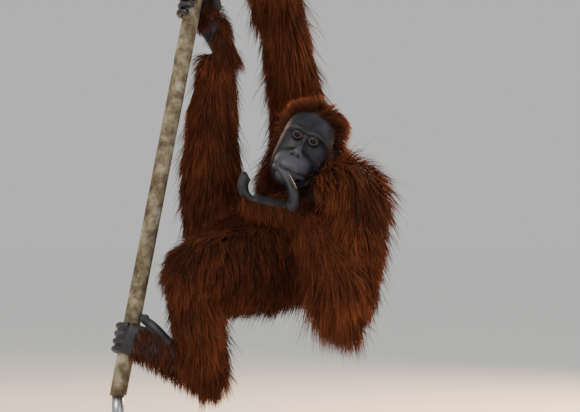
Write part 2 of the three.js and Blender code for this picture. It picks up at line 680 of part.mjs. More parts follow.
function growCoat({
  node, form, from, to, rows, count, towards, spread, length, width, lie, droop = 0.5, rise = 0.35,
}) {
  const others = Object.keys(bodies).filter((name) => name !== node).flatMap((name) => bodies[name].forms);
  const locks = [];
  for (let row = 0; row < rows; row += 1) {
    for (let i = 0; i < count; i += 1) {
      const share = mix(from, to, (row + 0.5 + random(-0.2, 0.2)) / rows);
      const ring = form.station(share);
      const facing = Math.atan2(towards.dot(ring.deepWay), towards.dot(ring.wideWay));
      const step = (i + 0.25 + 0.5 * (row % 2) + random(-0.15, 0.15)) / count;
      const root = form.surface(share, THREE.MathUtils.radToDeg(facing) + mix(-spread, spread, step));
      const size = { length: length * random(0.82, 1.18), width: width * random(0.88, 1.12), droop, rise };
      if (others.some((other) => other.nearest(root.point).outside < COAT.sunk)) continue;
      const way = lie(share).projectOnPlane(root.normal).normalize();
      locks.push(new Lock(root, way, size, form, others));
    }
  }
  return locks;
}

const coats = {};
for (const plan of COATS) coats[plan.node] = [...(coats[plan.node] ?? []), ...growCoat(plan)];
for (const [name, shape] of clearCuts(coats)) add(name, geometryOf(shape), FINISHES[name] ?? COAT_RED);
add('stand_base', baseGeometry(), finish(0x3b2f27, 0.5));
add('stand_rod', rodGeometry(), finish(0x8d9094, 0.35, 1));

export default model;
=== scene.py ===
# %% [markdown]
# A life-size still model of an adult orangutan. It hangs from a leaning trunk with one arm
# and one leg raised, and holds a cupped hand at its mouth. The CAD solids carry its true
# size and pose. This lesson dresses them: one smooth skin, long red hair, wet eyes, nails,
# bark, and the wood and steel of the display stand.

import math

import bpy
import numpy as np
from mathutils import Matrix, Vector, noise
from mathutils.kdtree import KDTree


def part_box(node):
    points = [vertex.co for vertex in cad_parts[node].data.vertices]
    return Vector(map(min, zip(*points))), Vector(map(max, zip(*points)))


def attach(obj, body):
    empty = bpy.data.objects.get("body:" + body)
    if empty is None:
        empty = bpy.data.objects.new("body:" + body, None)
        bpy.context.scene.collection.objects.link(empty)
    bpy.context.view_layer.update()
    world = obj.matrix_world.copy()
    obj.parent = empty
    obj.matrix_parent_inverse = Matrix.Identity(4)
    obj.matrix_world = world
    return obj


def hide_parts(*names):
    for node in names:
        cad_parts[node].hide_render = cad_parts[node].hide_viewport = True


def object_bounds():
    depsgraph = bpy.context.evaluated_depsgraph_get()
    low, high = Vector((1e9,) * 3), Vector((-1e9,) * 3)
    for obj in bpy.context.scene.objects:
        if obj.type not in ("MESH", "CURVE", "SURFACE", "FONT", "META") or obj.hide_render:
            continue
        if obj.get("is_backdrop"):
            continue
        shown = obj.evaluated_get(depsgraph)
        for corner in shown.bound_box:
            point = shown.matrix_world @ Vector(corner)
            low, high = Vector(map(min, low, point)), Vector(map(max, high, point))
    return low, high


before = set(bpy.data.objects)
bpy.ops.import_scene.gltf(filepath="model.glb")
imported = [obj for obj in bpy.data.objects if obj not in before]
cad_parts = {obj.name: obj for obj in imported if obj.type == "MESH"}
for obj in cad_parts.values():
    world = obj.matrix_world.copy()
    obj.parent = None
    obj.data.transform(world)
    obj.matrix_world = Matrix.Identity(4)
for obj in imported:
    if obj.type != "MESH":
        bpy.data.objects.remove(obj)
CAD_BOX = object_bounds()
MM = 0.001  # the model's named sizes are millimetres, Blender's are metres
print("CAD box", [tuple(round(x, 3) for x in corner) for corner in CAD_BOX])


# %% [markdown]
# Every finish is a small node tree. One function adds a node with its settings and links,
# and one turns a hex colour, as a colour picker shows it, into the linear values that
# Blender mixes light with.

# %% Colours and nodes
def linear(code, alpha=1.0):
    parts = [int(code[i:i + 2], 16) / 255 for i in (1, 3, 5)]
    return tuple(c / 12.92 if c <= 0.04045 else ((c + 0.055) / 1.055) ** 2.4 for c in parts) + (alpha,)


def node(tree, kind, values=None, links=None, stops=(), **settings):
    made = tree.nodes.new("ShaderNode" + kind)
    for name, value in settings.items():
        setattr(made, name, value)
    for name, value in (values or {}).items():
        made.inputs[name].default_value = value
    for name, (source, socket) in (links or {}).items():
        tree.links.new(source.outputs[socket], made.inputs[name])
    if stops:
        for place, _ in stops[1:-1]:
            made.color_ramp.elements.new(place)
        for element, (place, colour) in zip(made.color_ramp.elements, stops):
            element.position = place
            element.color = linear(colour)
    return made


def finish_of(name, values):
    """A new material with its Principled shader set to plain values."""
    material = bpy.data.materials.new(name)
    material.use_nodes = True
    tree = material.node_tree
    shader = tree.nodes["Principled BSDF"]
    for socket, value in values.items():
        shader.inputs[socket].default_value = value
    return material, tree, shader


# %% [markdown]
# The pose is a few landmarks: the joints of each limb, the pelvis, the base of the neck and
# the point between the eyes. The head has its own three directions, so that the face can be
# laid out as on a portrait, whatever way the head is turned.

# %% Landmarks of the pose
def vec(*xyz):
    return np.array(xyz, float)


def unit(a):
    return a / np.maximum(np.linalg.norm(a, axis=-1, keepdims=True), 1e-9)


DOWN = vec(0, 0, -1)
TRUNK_LOW, TRUNK_TOP, TRUNK_RADIUS = vec(-343, -188, 230), vec(-55, 132, 1817), 23
BETWEEN_EYES = vec(149, 3, 909)
LEFT = {"wrist": vec(129, -70, 699), "elbow": vec(258, -215, 478), "shoulder": vec(275, -15, 762),
        "hip": vec(32, -92, 579), "knee": vec(-160, -235, 552), "ankle": vec(-120, -206, 307)}
RIGHT = {"wrist": vec(-22, 150, 1560), "elbow": vec(90, 255, 1232), "shoulder": vec(142, 256, 850),
         "hip": vec(-66, 45, 606), "knee": vec(-107, 52, 872), "ankle": vec(-90, 56, 1125)}
ACROSS = vec(0.486, -0.874, 0)  # from the right shoulder to the left

HEAD_LEFT = unit(vec(0.895, -0.17, -0.41))
HEAD_FORWARD = vec(-0.19, -0.98, 0)
HEAD_FORWARD = unit(HEAD_FORWARD - HEAD_LEFT * HEAD_FORWARD.dot(HEAD_LEFT))
HEAD_UP = np.cross(HEAD_FORWARD, HEAD_LEFT)
HEAD_AXES = np.array([HEAD_LEFT, HEAD_FORWARD, HEAD_UP])

TRUNK_AXIS = unit(TRUNK_TOP - TRUNK_LOW)
TRUNK_RIGHT = unit(vec(1, 0, 0) - TRUNK_AXIS * TRUNK_AXIS[0])
TRUNK_BACK = np.cross(TRUNK_AXIS, TRUNK_RIGHT)


def on_head(left, forward, up):
    return BETWEEN_EYES + vec(left, forward, up) @ HEAD_AXES


def head_place(points):
    """Left, forward and up of points, as seen from between the eyes."""
    return (points - BETWEEN_EYES) @ HEAD_AXES.T


def round_trunk(height, degrees, radius):
    along = (height - TRUNK_LOW[2]) / TRUNK_AXIS[2]
    a = math.radians(degrees)
    return TRUNK_LOW + TRUNK_AXIS * along + radius * (TRUNK_RIGHT * math.cos(a) + TRUNK_BACK * math.sin(a))


# %% [markdown]
# A limb is a loft: a smooth line with an oval section that changes along it. The same form
# serves twice. It gives the flesh its surface, and it tells each hair where the skin is, so
# that hair can be pushed out of it. A centripetal spline keeps the line free of loops.

# %% Lofted forms
def spline(points, share):
    """A point on the centripetal spline through points, at a share of its length in steps."""
    last = len(points) - 1
    place = min(share * last, last - 1e-9)
    i = int(place)
    p1, p2 = points[i], points[i + 1]
    p0 = points[i - 1] if i > 0 else 2 * points[0] - points[1]
    p3 = points[i + 2] if i + 2 <= last else 2 * points[-1] - points[-2]
    gaps = [math.sqrt(np.linalg.norm(b - a)) for a, b in ((p0, p1), (p1, p2), (p2, p3))]
    d1 = gaps[1] if gaps[1] > 1e-4 else 1.0
    d0, d2 = (g if g > 1e-4 else d1 for g in (gaps[0], gaps[2]))
    m1 = ((p1 - p0) / d0 - (p2 - p0) / (d0 + d1) + (p2 - p1) / d1) * d1
    m2 = ((p2 - p1) / d1 - (p3 - p1) / (d1 + d2) + (p3 - p2) / d2) * d1
    w = place - i
    return p1 + m1 * w + (-3 * p1 + 3 * p2 - 2 * m1 - m2) * w ** 2 + (2 * p1 - 2 * p2 + m1 + m2) * w ** 3


class Form:
    STEPS = 33
    DOME = 0.15  # shares past 0 and 1 by up to this lie on the rounded ends

    def __init__(self, stations, side, upright=None, square=2.0, caps=(0.8, 0.8)):
        shares = np.linspace(0, 1, self.STEPS)
        places = np.array([s[0] for s in stations], float)
        sizes = np.array([[s[1], s[2], 0] for s in stations], float)
        self.centre = np.array([spline(places, t) for t in shares])
        size = np.array([spline(sizes, t) for t in shares])
        self.wide, self.deep = size[:, 0], size[:, 1]
        tangent = np.gradient(self.centre, axis=0) if upright is None else np.tile(upright, (self.STEPS, 1))
        self.tangent = unit(tangent)
        across = side - self.tangent * (self.tangent @ side)[:, None]
        self.wide_way = unit(across)
        self.deep_way = np.cross(self.tangent, self.wide_way)
        self.square, self.caps = square, caps

    def rings(self, share):
        """Centre, tangent, section directions and half sizes at an array of shares."""
        place = np.clip(share, 0, 1) * (self.STEPS - 1)
        low = np.minimum(place.astype(int), self.STEPS - 2)
        w = (place - low)[:, None]

        def between(a):
            a = a if a.ndim > 1 else a[:, None]
            return a[low] * (1 - w) + a[low + 1] * w
        parts = (self.centre, self.tangent, self.wide_way, self.deep_way, self.wide, self.deep)
        return [between(a) for a in parts]

    def surface(self, share, angle):
        """Points, ways out and tangents, on the rounded ends too."""
        centre, tangent, wide_way, deep_way, wide, deep = self.rings(share)
        turned = (np.clip(np.maximum(share - 1, -share), 0, self.DOME) / self.DOME * math.pi / 2)[:, None]
        end = np.where(share[:, None] > 0.5, self.caps[1], -self.caps[0])
        c, s = np.cos(angle)[:, None], np.sin(angle)[:, None]

        def bend(x):
            return np.sign(x) * np.abs(x) ** (2 / self.square)
        ring = wide_way * wide * bend(c) + deep_way * deep * bend(s)
        point = centre + ring * np.cos(turned) + tangent * end * np.minimum(wide, deep) * np.sin(turned)
        side = unit(wide_way * c / wide + deep_way * s / deep)
        return point, unit(side * np.cos(turned) + tangent * np.sign(end) * np.sin(turned)), tangent

    def nearest(self, points):
        """How far points lie outside the form, and the way out of it."""
        best = np.full(len(points), 1e9)
        out = np.zeros_like(points)
        for i in range(self.STEPS):
            away = points - self.centre[i]
            along = away @ self.tangent[i]
            x, y = away @ self.wide_way[i], away @ self.deep_way[i]
            flat = np.maximum(np.hypot(x, y), 1e-6)
            reach = 1 / np.hypot(x / flat / self.wide[i], y / flat / self.deep[i])
            inside = (flat < reach) & (np.abs(along) < reach * 0.35)
            gap = np.where(inside, flat - reach, np.hypot(np.maximum(flat - reach, 0), along))
            nearer = gap < best
            best[nearer] = gap[nearer]
            out[nearer] = (away - np.outer(along, self.tangent[i]))[nearer]
        return best, unit(out)

    def mesh(self, rings=28, sides=28):
        """Corners and faces of the closed form."""
        turn = np.linspace(0, 2 * math.pi, sides, endpoint=False)
        ends = self.DOME * np.array([0.2, 0.42, 0.65, 0.88])
        rows = np.concatenate([-ends[::-1], np.linspace(0, 1, rings + 1), 1 + ends])
        corners = np.concatenate([self.surface(np.full(sides, share), turn)[0] for share in rows])
        faces = []
        for row in range(len(rows) - 1):
            for i in range(sides):
                a, b = row * sides + i, row * sides + (i + 1) % sides
                faces.append((a, b, b + sides, a + sides))
        faces.append(tuple(range(sides))[::-1])
        faces.append(tuple(range((len(rows) - 1) * sides, len(rows) * sides)))
        return corners, faces


# %% [markdown]
# Two more simple shapes are enough for the rest: a round tube along a few points, for digits,
# lips and brows, and an ellipsoid for the soft lumps of the face. One function then makes a
# Blender object from any number of them.

# %% Tubes, eggs and objects
def tube(points, radii, side=vec(0, 0.2, 1), caps=(0.8, 0.8)):
    return Form([(p, r, r) for p, r in zip(points, radii)], side, caps=caps)


def egg(centre, halves, axes=HEAD_AXES, rings=16, sides=24):
    """Corners and faces of an ellipsoid along three directions."""
    rise = np.linspace(-math.pi / 2, math.pi / 2, rings + 1)[1:-1]
    turn = np.linspace(0, 2 * math.pi, sides, endpoint=False)
    flat = [vec(math.cos(t) * math.cos(r), math.sin(t) * math.cos(r), math.sin(r))
            for r in rise for t in turn]
    local = np.array(flat + [vec(0, 0, -1), vec(0, 0, 1)]) * np.array(halves)
    faces = []
    for row in range(len(rise) - 1):
        for i in range(sides):
            a, b = row * sides + i, row * sides + (i + 1) % sides
            faces.append((a, b, b + sides, a + sides))
    low, high, top = len(flat), len(flat) + 1, (len(rise) - 1) * sides
    for i in range(sides):
        j = (i + 1) % sides
        faces += [(low, j, i), (high, top + i, top + j)]
    if np.linalg.det(axes) < 0:
        faces = [face[::-1] for face in faces]
    return centre + local @ axes, faces


def mesh_object(name, parts):
    """One object from several sets of corners (mm) and faces."""
    corners, faces, start = [], [], 0
    for points, polygons in parts:
        corners.append(points)
        faces += [tuple(i + start for i in face) for face in polygons]
        start += len(points)
    mesh = bpy.data.meshes.new(name)
    mesh.from_pydata((np.concatenate(corners) * MM).tolist(), [], faces)
    made = bpy.data.objects.new(name, mesh)
    bpy.context.collection.objects.link(made)
    return made


# %% [markdown]
# The body is a curled barrel with a short neck, and each arm and leg is a tapering loft that
# starts inside it. Half sizes are those of the flesh and the dense under-hair, not of the
# long coat, which hangs a hand's breadth further out.

# %% Torso, neck and limbs
torso = Form([(vec(-62, -52, 566), 100, 82), (vec(-10, -28, 581), 132, 106), (vec(70, 16, 601), 148, 124),
              (vec(141, 68, 655), 158, 126), (vec(186, 108, 718), 150, 108), (vec(207, 126, 767), 96, 84)],
             ACROSS, caps=(0.7, 0.5))
neck = Form([(vec(205, 122, 780), 82, 78), (vec(199, 102, 830), 72, 70), (on_head(0, -95, -22), 70, 68)],
            ACROSS, caps=(0.6, 0.6))
limbs = {
    "upper_arm_left": Form([(vec(214, 42, 732), 84, 84), (LEFT["shoulder"], 74, 76),
                            (vec(280, -85, 662), 66, 68), (vec(271, -152, 560), 57, 60),
                            (LEFT["elbow"], 50, 52)], vec(0.6, 0.75, 0.1)),
    "forearm_left": Form([(LEFT["elbow"], 44, 46), (vec(218, -170, 546), 56, 56),
                          (vec(172, -116, 628), 45, 44), (LEFT["wrist"], 34, 27)],
                         vec(0, 1, 0.2), caps=(0.9, 0.5)),
    "upper_arm_right": Form([(vec(128, 205, 745), 84, 80), (RIGHT["shoulder"], 78, 76),
                             (vec(128, 262, 1000), 62, 60), (vec(108, 260, 1120), 55, 54),
                             (RIGHT["elbow"], 48, 48)], vec(1, 0, 0)),
    "forearm_right": Form([(RIGHT["elbow"], 42, 42), (vec(64, 232, 1320), 53, 52),
                           (vec(20, 190, 1450), 42, 40), (RIGHT["wrist"], 33, 26)],
                          vec(0, 0.3, 1), caps=(0.9, 0.5)),
    "thigh_left": Form([(vec(48, -62, 588), 96, 92), (LEFT["hip"], 92, 90),
                        (vec(-50, -165, 566), 86, 84), (vec(-118, -212, 560), 70, 72),
                        (LEFT["knee"], 58, 60)], vec(0, 0, 1)),
    "shank_left": Form([(LEFT["knee"], 50, 52), (vec(-138, -226, 470), 52, 58),
                        (vec(-126, -214, 385), 42, 48), (LEFT["ankle"], 32, 36)],
                       vec(0, 1, 0), caps=(0.9, 0.6)),
    "thigh_right": Form([(vec(-38, 28, 588), 84, 88), (vec(-72, 44, 650), 80, 84),
                         (vec(-98, 52, 765), 68, 72), (RIGHT["knee"], 56, 58)], vec(0, 1, 0)),
    "shank_right": Form([(RIGHT["knee"], 50, 52), (vec(-104, 54, 955), 52, 54),
                         (vec(-96, 55, 1045), 40, 42), (RIGHT["ankle"], 31, 33)],
                        vec(0, 1, 0), caps=(0.9, 0.6)),
}
print("limbs", len(limbs))


# %% [markdown]
# Hands and feet are hooks: a long palm or sole and four digits side by side, with a thumb or
# great toe set against them. Where they grip the trunk, each digit is an arc at its own
# radius off the bark. Small swellings at the knuckles keep the digits from reading as hoses.

# %% Hands and feet
DIGIT_RADIUS, DIGIT_TAPER, DIGIT_PITCH, BARK_GAP = 9.5, 1.8, 20, 0.8
SHORTER = (14, 0, 6, 26)  # degrees of its arc that each of the four digits leaves out


def knuckled(points, radii):
    """A digit as a tube with a slight swelling at each joint."""
    many = np.array([spline(np.array(points), t) for t in np.linspace(0, 1, 10)])
    plain = np.interp(np.linspace(0, 1, 10), np.linspace(0, 1, len(radii)), radii)
    swell = 1 + 0.05 * np.cos(np.linspace(0, 1, 10) * 3 * 2 * math.pi)
    return tube(many, plain * swell, caps=(0.6, 0.95))


def grip(palm, height, start, stop, thumb):
    """A palm, four digits that curl round the trunk from start to stop, and the thumb."""
    way = 1 if stop > start else -1
    digits = []
    for i, shorter in enumerate(SHORTER):
        angles = np.linspace(start, stop - way * shorter, 7)
        reach = TRUNK_RADIUS + DIGIT_RADIUS + BARK_GAP
        tall = height + (1.5 - i) * DIGIT_PITCH
        arc = [round_trunk(tall, a, reach) for a in angles]
        digits.append(knuckled(arc, [DIGIT_RADIUS, DIGIT_RADIUS - DIGIT_TAPER]))
    return [palm, *digits, knuckled(*thumb)]


HEIGHTS = {"foot_left": 374, "foot_right": 1272, "hand_right": 1668}
PALM_REACH = TRUNK_RADIUS + 18
extremities = {
    "foot_left": grip(
        Form([(vec(-88, -206, 272), 27, 26), (vec(-126, -212, 290), 34, 27), (vec(-186, -217, 322), 39, 22),
              (vec(-240, -214, 352), 42, 18), (round_trunk(374, 272, PALM_REACH), 42, 15)],
             vec(0.15, 0, 1), caps=(0.8, 0.7)), 374, 262, 95,
        ([vec(-206, -222, 366), vec(-242, -212, 406), round_trunk(430, 318, 39), round_trunk(435, 350, 35),
          round_trunk(438, 384, 34)], [13, 12, 11, 10, 9])),
    "foot_right": grip(
        Form([(vec(-66, 64, 1128), 27, 26), (vec(-80, 68, 1158), 33, 27), (vec(-98, 72, 1205), 38, 22),
              (vec(-112, 68, 1246), 41, 18), (round_trunk(1272, 82, PALM_REACH), 41, 15)],
             vec(-0.5, 0, 1), caps=(0.8, 0.7)), 1272, 100, 278,
        ([vec(-92, 62, 1268), vec(-96, 36, 1300), round_trunk(1322, 344, 39), round_trunk(1328, 318, 35),
          round_trunk(1332, 284, 34)], [13, 12, 11, 10, 9])),
    "hand_right": grip(
        Form([(RIGHT["wrist"], 32, 25), (vec(-36, 150, 1598), 38, 23), (vec(-56, 146, 1634), 42, 19),
              (round_trunk(1668, 84, PALM_REACH), 42, 15)], vec(-0.5, 0, 1), caps=(0.6, 0.7)), 1668, 100, 292,
        ([vec(-34, 138, 1660), vec(-32, 112, 1690), round_trunk(1716, 346, 38), round_trunk(1722, 320, 34),
          round_trunk(1726, 294, 33)], [11, 10.5, 10, 9, 8])),
}


def cupped_hand():
    """A level palm, four fingers that curl up at its end, and the thumb at the lips."""
    palm = Form([(LEFT["wrist"], 32, 26), (vec(92, -86, 714), 42, 27), (vec(50, -94, 727), 46, 22),
                 (vec(16, -96, 740), 46, 17)], vec(0, 1, 0), caps=(0.6, 0.7))
    fingers = []
    for i, long in enumerate((0.92, 1, 0.97, 0.84)):
        y = -96 - (1.5 - i) * 22.5
        curl = ((24, 738), (0, 743), (-17, 763), (-21, 788), (-13, 810))
        points = [vec(24 + (x - 24) * long, y * 0.88 - 92 * 0.12, 738 + (z - 738) * long) for x, z in curl]
        fingers.append(knuckled(points, [12.5, 12, 11.5, 11, 9.5]))
    thumb = knuckled([vec(112, -104, 718), vec(118, -118, 750), vec(108, -112, 785), vec(92, -94, 812),
                      vec(78, -76, 832)], [18, 15, 12.5, 11, 9])
    return [palm, *fingers, thumb]


extremities["hand_left"] = cupped_hand()
print("digits", sum(len(forms) - 1 for forms in extremities.values()))

# %% [markdown]
# The head is a domed skull over a full throat, with a deep rounded muzzle, thin wide lips, a
# low nose, and brow ridges that close over small eyes. Each is a simple form, and the voxel
# remesh that follows melts them together as clay would.

# %% Head
# height over the eyes, then the front, the back and half the width at that height
SKULL = [(-158, -18, -52, 34), (-140, -2, -72, 56), (-112, 8, -94, 70), (-78, 8, -118, 76),
         (-42, 0, -134, 77), (-8, -6, -144, 76), (18, 4, -148, 74), (42, -8, -145, 70),
         (64, -26, -132, 60), (82, -52, -108, 38)]
skull = Form([(on_head(0, (front + back) / 2, up), half, (front - back) / 2)
              for up, front, back, half in SKULL],
             HEAD_LEFT, upright=HEAD_UP, square=2.3, caps=(0.5, 0.35))
muzzle = Form([(on_head(0, -30, -74), 56, 46), (on_head(0, 0, -78), 55, 42), (on_head(0, 22, -82), 50, 37),
               (on_head(0, 40, -86), 42, 31), (on_head(0, 52, -89), 32, 24)], HEAD_LEFT, caps=(0.8, 0.45))


HALF_MOUTH, MOUTH_DEPTH, MOUTH_BEND = 44, 36, 1.45


def lip(up, forward):
    """A lip as a tube that bends back round the muzzle on both sides."""
    shares = (-1, -0.8, -0.4, 0, 0.4, 0.8, 1)
    arc = [on_head(HALF_MOUTH * math.sin(MOUTH_BEND * s),
                   forward - MOUTH_DEPTH * (1 - math.cos(MOUTH_BEND * s)) ** 0.9, up) for s in shares]
    return tube(arc, [5, 7, 8, 8.5, 8, 7, 5])


EYE_APART, EYE_RADIUS, EYE_SUNK = 48, 11.5, 8
LID_RADIUS, LIDS = 15, (11, 6.4)  # the lids open over half this width and height
EYES = {"left": on_head(EYE_APART / 2, -EYE_SUNK, 0), "right": on_head(-EYE_APART / 2, -EYE_SUNK, 0)}
face_forms = [skull, muzzle, lip(-84, 57), lip(-101, 52),
              tube([on_head(0, -4, 4), on_head(0, 4, -18), on_head(0, 22, -42)], [6, 7, 12])]
for s in (-1, 1):  # the brow ridges
    face_forms.append(tube([on_head(s * 4, -1.5, 16), on_head(s * 24, 2, 20), on_head(s * 46, -9, 13),
                            on_head(s * 60, -26, -3)], [7, 7.5, 7, 5]))
face_eggs = [egg(on_head(0, 34, -114), (30, 26, 22))]  # chin
openings = [egg(on_head(0, 42, -92.5), (36, 33, 2))]  # the gap between the lips
for s, eye in ((1, EYES["left"]), (-1, EYES["right"])):
    face_eggs.append(egg(on_head(s * 9, 26, -47), (8.5, 8.5, 8)))  # wing of the nose
    face_eggs.append(egg(eye, (LID_RADIUS,) * 3))  # lids
    face_eggs.append(egg(on_head(s * 77, -84, -8), (10, 15, 22)))  # ear
    openings.append(egg(eye + HEAD_FORWARD * LID_RADIUS, (LIDS[0], EYE_RADIUS, LIDS[1])))
    openings.append(egg(on_head(s * 8, 35, -48), (4.5, 8.5, 4.8)))  # nostril
    openings.append(egg(on_head(s * 86, -84, -8), (9, 9, 14)))  # hollow of the ear
print("face", len(face_forms) + len(face_eggs), "forms and", len(openings), "openings")


# %% [markdown]
# Flesh has no seams, so all the forms are merged into one skin. A Boolean union of forty
# lofts would leave creases where they meet. Voxel remesh rebuilds them as one even surface,
# and a few rounds of averaging melt the creases: many on the body, few on the face and hands.

# %% One skin
VOXEL = 2.0
SMOOTH_ROUNDS = {"body": 26, "bare": 2}


def applied(thing):
    """The object's mesh with its modifiers applied."""
    graph = bpy.context.evaluated_depsgraph_get()
    mesh = bpy.data.meshes.new_from_object(thing.evaluated_get(graph))
    thing.modifiers.clear()
    thing.data = mesh
    return mesh


head_clay = mesh_object("head_clay", [form.mesh() for form in face_forms] + face_eggs)
join = head_clay.modifiers.new("one head", "REMESH")
join.mode, join.voxel_size = "VOXEL", 1.8 * MM
cutter = mesh_object("openings", openings)
cut = head_clay.modifiers.new("openings", "BOOLEAN")
cut.operation, cut.object, cut.solver = "DIFFERENCE", cutter, "FAST"
applied(head_clay)
body_parts = [form.mesh() for form in (torso, neck, *limbs.values())]
digit_parts = [form.mesh(rings=24, sides=18) for forms in extremities.values() for form in forms]
skin = mesh_object("skin", body_parts + digit_parts)
with bpy.context.temp_override(active_object=skin, selected_editable_objects=[skin, head_clay]):
    bpy.ops.object.join()
melt = skin.modifiers.new("one skin", "REMESH")
melt.mode, melt.voxel_size = "VOXEL", VOXEL * MM
mesh = applied(skin)
bpy.data.objects.remove(cutter)

# %% [markdown]
# The corners go into one array, because half a million of them move in a second there, and
# in minutes one by one. Their places as seen from between the eyes are kept beside them.

# %% Corners of the skin
corners = np.empty(len(mesh.vertices) * 3)
mesh.vertices.foreach_get("co", corners)
corners = corners.reshape(-1, 3) / MM
edges = np.empty(len(mesh.edges) * 2, int)
mesh.edges.foreach_get("vertices", edges)
edges = edges.reshape(-1, 2)
place = head_place(corners)


def near(points, forms, reach):
    """1 inside the reach of some forms, falling to 0 over the same distance again."""
    best = np.full(len(points), 1e9)
    for form in forms:
        best = np.minimum(best, form.nearest(points)[0])
    return np.clip(2 - best / reach, 0, 1)


print("skin corners", len(corners))

# %% [markdown]
# Where the skin is bare matters three times: it stays sharp there, it is coloured there, and
# no long hair grows there. The face is bare from the brow to the chin and out to the cheeks.

# %% Bare skin
FACE_EDGE = [(-150, 0), (-136, 34), (-115, 56), (-80, 66), (-20, 68), (20, 66), (50, 54), (64, 34), (72, 0)]


def face_share(place):
    """1 on the bare face, 0 under the hair: half its width changes with the height."""
    half = np.interp(place[:, 2], *zip(*FACE_EDGE))
    return np.clip((half - np.abs(place[:, 0])) / 8 + 0.5, 0, 1) * np.clip((place[:, 1] + 62) / 12, 0, 1)


hands = [form for forms in extremities.values() for form in forms]
boxes = [(np.min(f.centre, 0) - 60, np.max(f.centre, 0) + 60) for f in hands]
close = np.zeros(len(corners), bool)
for low, high in boxes:
    close |= np.all((corners > low) & (corners < high), axis=1)
bare = face_share(place)
ears = [np.linalg.norm((place - vec(s * 80, -84, -8)) / vec(1, 1.2, 1.7), axis=1) for s in (-1, 1)]
bare = np.maximum(bare, np.clip(3 - np.minimum(*ears) / 9, 0, 1))
on_hand = np.zeros(len(corners))
on_hand[close] = near(corners[close], hands, 3)
bare = np.maximum(bare, on_hand)
print("bare corners", int(np.sum(bare > 0.5)))

# %% [markdown]
# Smoothing moves each corner part of the way to the mean of its neighbours. After the first
# rounds only skin that hair will cover still moves, so the face keeps its lids and lips.

# %% Smoothing
STEP = 0.6  # the part of the way that a corner moves in one round
degree = np.bincount(edges.ravel(), minlength=len(corners))[:, None]
for step in range(SMOOTH_ROUNDS["body"]):
    total = np.zeros_like(corners)
    for axis in range(3):
        for a, b in ((0, 1), (1, 0)):
            total[:, axis] += np.bincount(edges[:, a], corners[edges[:, b], axis], minlength=len(corners))
    weight = (1 - bare)[:, None] if step >= SMOOTH_ROUNDS["bare"] else STEP
    corners += weight * STEP * (total / degree - corners)
mesh.vertices.foreach_set("co", (corners * MM).ravel())

# %% [markdown]
# Four floats on each corner tell the finish what lies there: bare skin, the pale rim of the
# lids, the paler lips with a painted highlight on the front of the muzzle, and painted shade in
# the nostrils and along the mouth. They are made before the faces are thinned out, and Decimate
# carries them over.

# %% Marks on the skin
left, forward, up = place.T
lid_places = (np.abs(place[:, [0, 2]]) - (EYE_APART / 2, 0)) / LIDS
pale = 0.55 * np.exp(-(((np.linalg.norm(lid_places, axis=1) - 1.08) / 0.11) ** 2)) * (forward > -14)
lips = np.exp(-(((up + 93) / 13) ** 2)) * np.clip((forward - 20) / 20, 0, 1) * (np.abs(left) < 48)
# painted highlight: the front of the muzzle is painted paler, as light falls on it
muzzle_highlight = 0.8 * np.clip((forward - 10) / 22, 0, 1) * (np.abs(up + 70) < 70) * (1 - on_hand)
# painted shade: the nostrils and the line between the lips are painted near black, for the shade inside them
nostril_gap = np.minimum(*[np.linalg.norm(place - (s * 8, 37, -50), axis=1) for s in (-1, 1)])
mouth_line_shade = 0.8 * np.exp(-(((up + 92.5) / 2.2) ** 2)) * (lips > 0.1)
painted_pit_shade = 1.4 * np.exp(-((nostril_gap / 6) ** 2)) + mouth_line_shade
# the lips mark carries the paler lips and the painted highlight on the muzzle
marks = {"bare": bare, "pale": pale, "lips": np.maximum(lips, muzzle_highlight), "painted_pit_shade": np.clip(painted_pit_shade, 0, 1)}
for name, values in marks.items():
    mesh.attributes.new(name, "FLOAT", "POINT").data.foreach_set("value", values.astype(np.float32))
lighten = skin.modifiers.new("fewer faces", "DECIMATE")
lighten.ratio = 0.26
mesh = applied(skin)
mesh.shade_smooth()
FLESH = [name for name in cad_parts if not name.startswith(("stand", "perch", "eye"))]
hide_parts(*FLESH)
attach(skin, "root")
print("skin faces", len(mesh.polygons))


# %% [markdown]
# The bare skin of an adult is dark blue-grey, matt, and finely creased like soft leather, with
# a brown rim to the lids and paler lips. The front of the muzzle is painted paler as a highlight,
# and the nostrils and the mouth line near black as painted shade. Under the coat the skin is
# brown. Creases come from stretched Voronoi cells a few millimetres across, and pores from fine noise.

# %% Finish: bare skin
CREASE, PORE, BLOTCH = 5, 1.4, 45  # mm
skin_finish, tree, shader = finish_of("bare_leathery_skin", {
    "Roughness": 0.47, "IOR": 1.4, "Specular IOR Level": 0.5})
where = node(tree, "TexCoord")
blotch = node(tree, "TexNoise", {"Scale": 1 / (BLOTCH * MM), "Detail": 4.0}, {"Vector": (where, "Object")})
grey = node(tree, "ValToRGB", links={"Fac": (blotch, "Fac")},
            stops=[(0.3, "#1b1b20"), (0.5, "#29292f"), (0.72, "#40414b")])
pale_mark = node(tree, "Attribute", attribute_name="pale")
lip_and_highlight_mark = node(tree, "Attribute", attribute_name="lips")
bare_mark = node(tree, "Attribute", attribute_name="bare")
pit_shade_mark = node(tree, "Attribute", attribute_name="painted_pit_shade")
lidded = node(tree, "Mix", {7: linear("#6a5547")}, {0: (pale_mark, "Fac"), 6: (grey, "Color")},
              data_type="RGBA")
# paler lips, and the painted highlight on the front of the muzzle
lipped_and_highlit = node(tree, "Mix", {7: linear("#53545e")}, {0: (lip_and_highlight_mark, "Fac"), 6: (lidded, 2)}, data_type="RGBA")
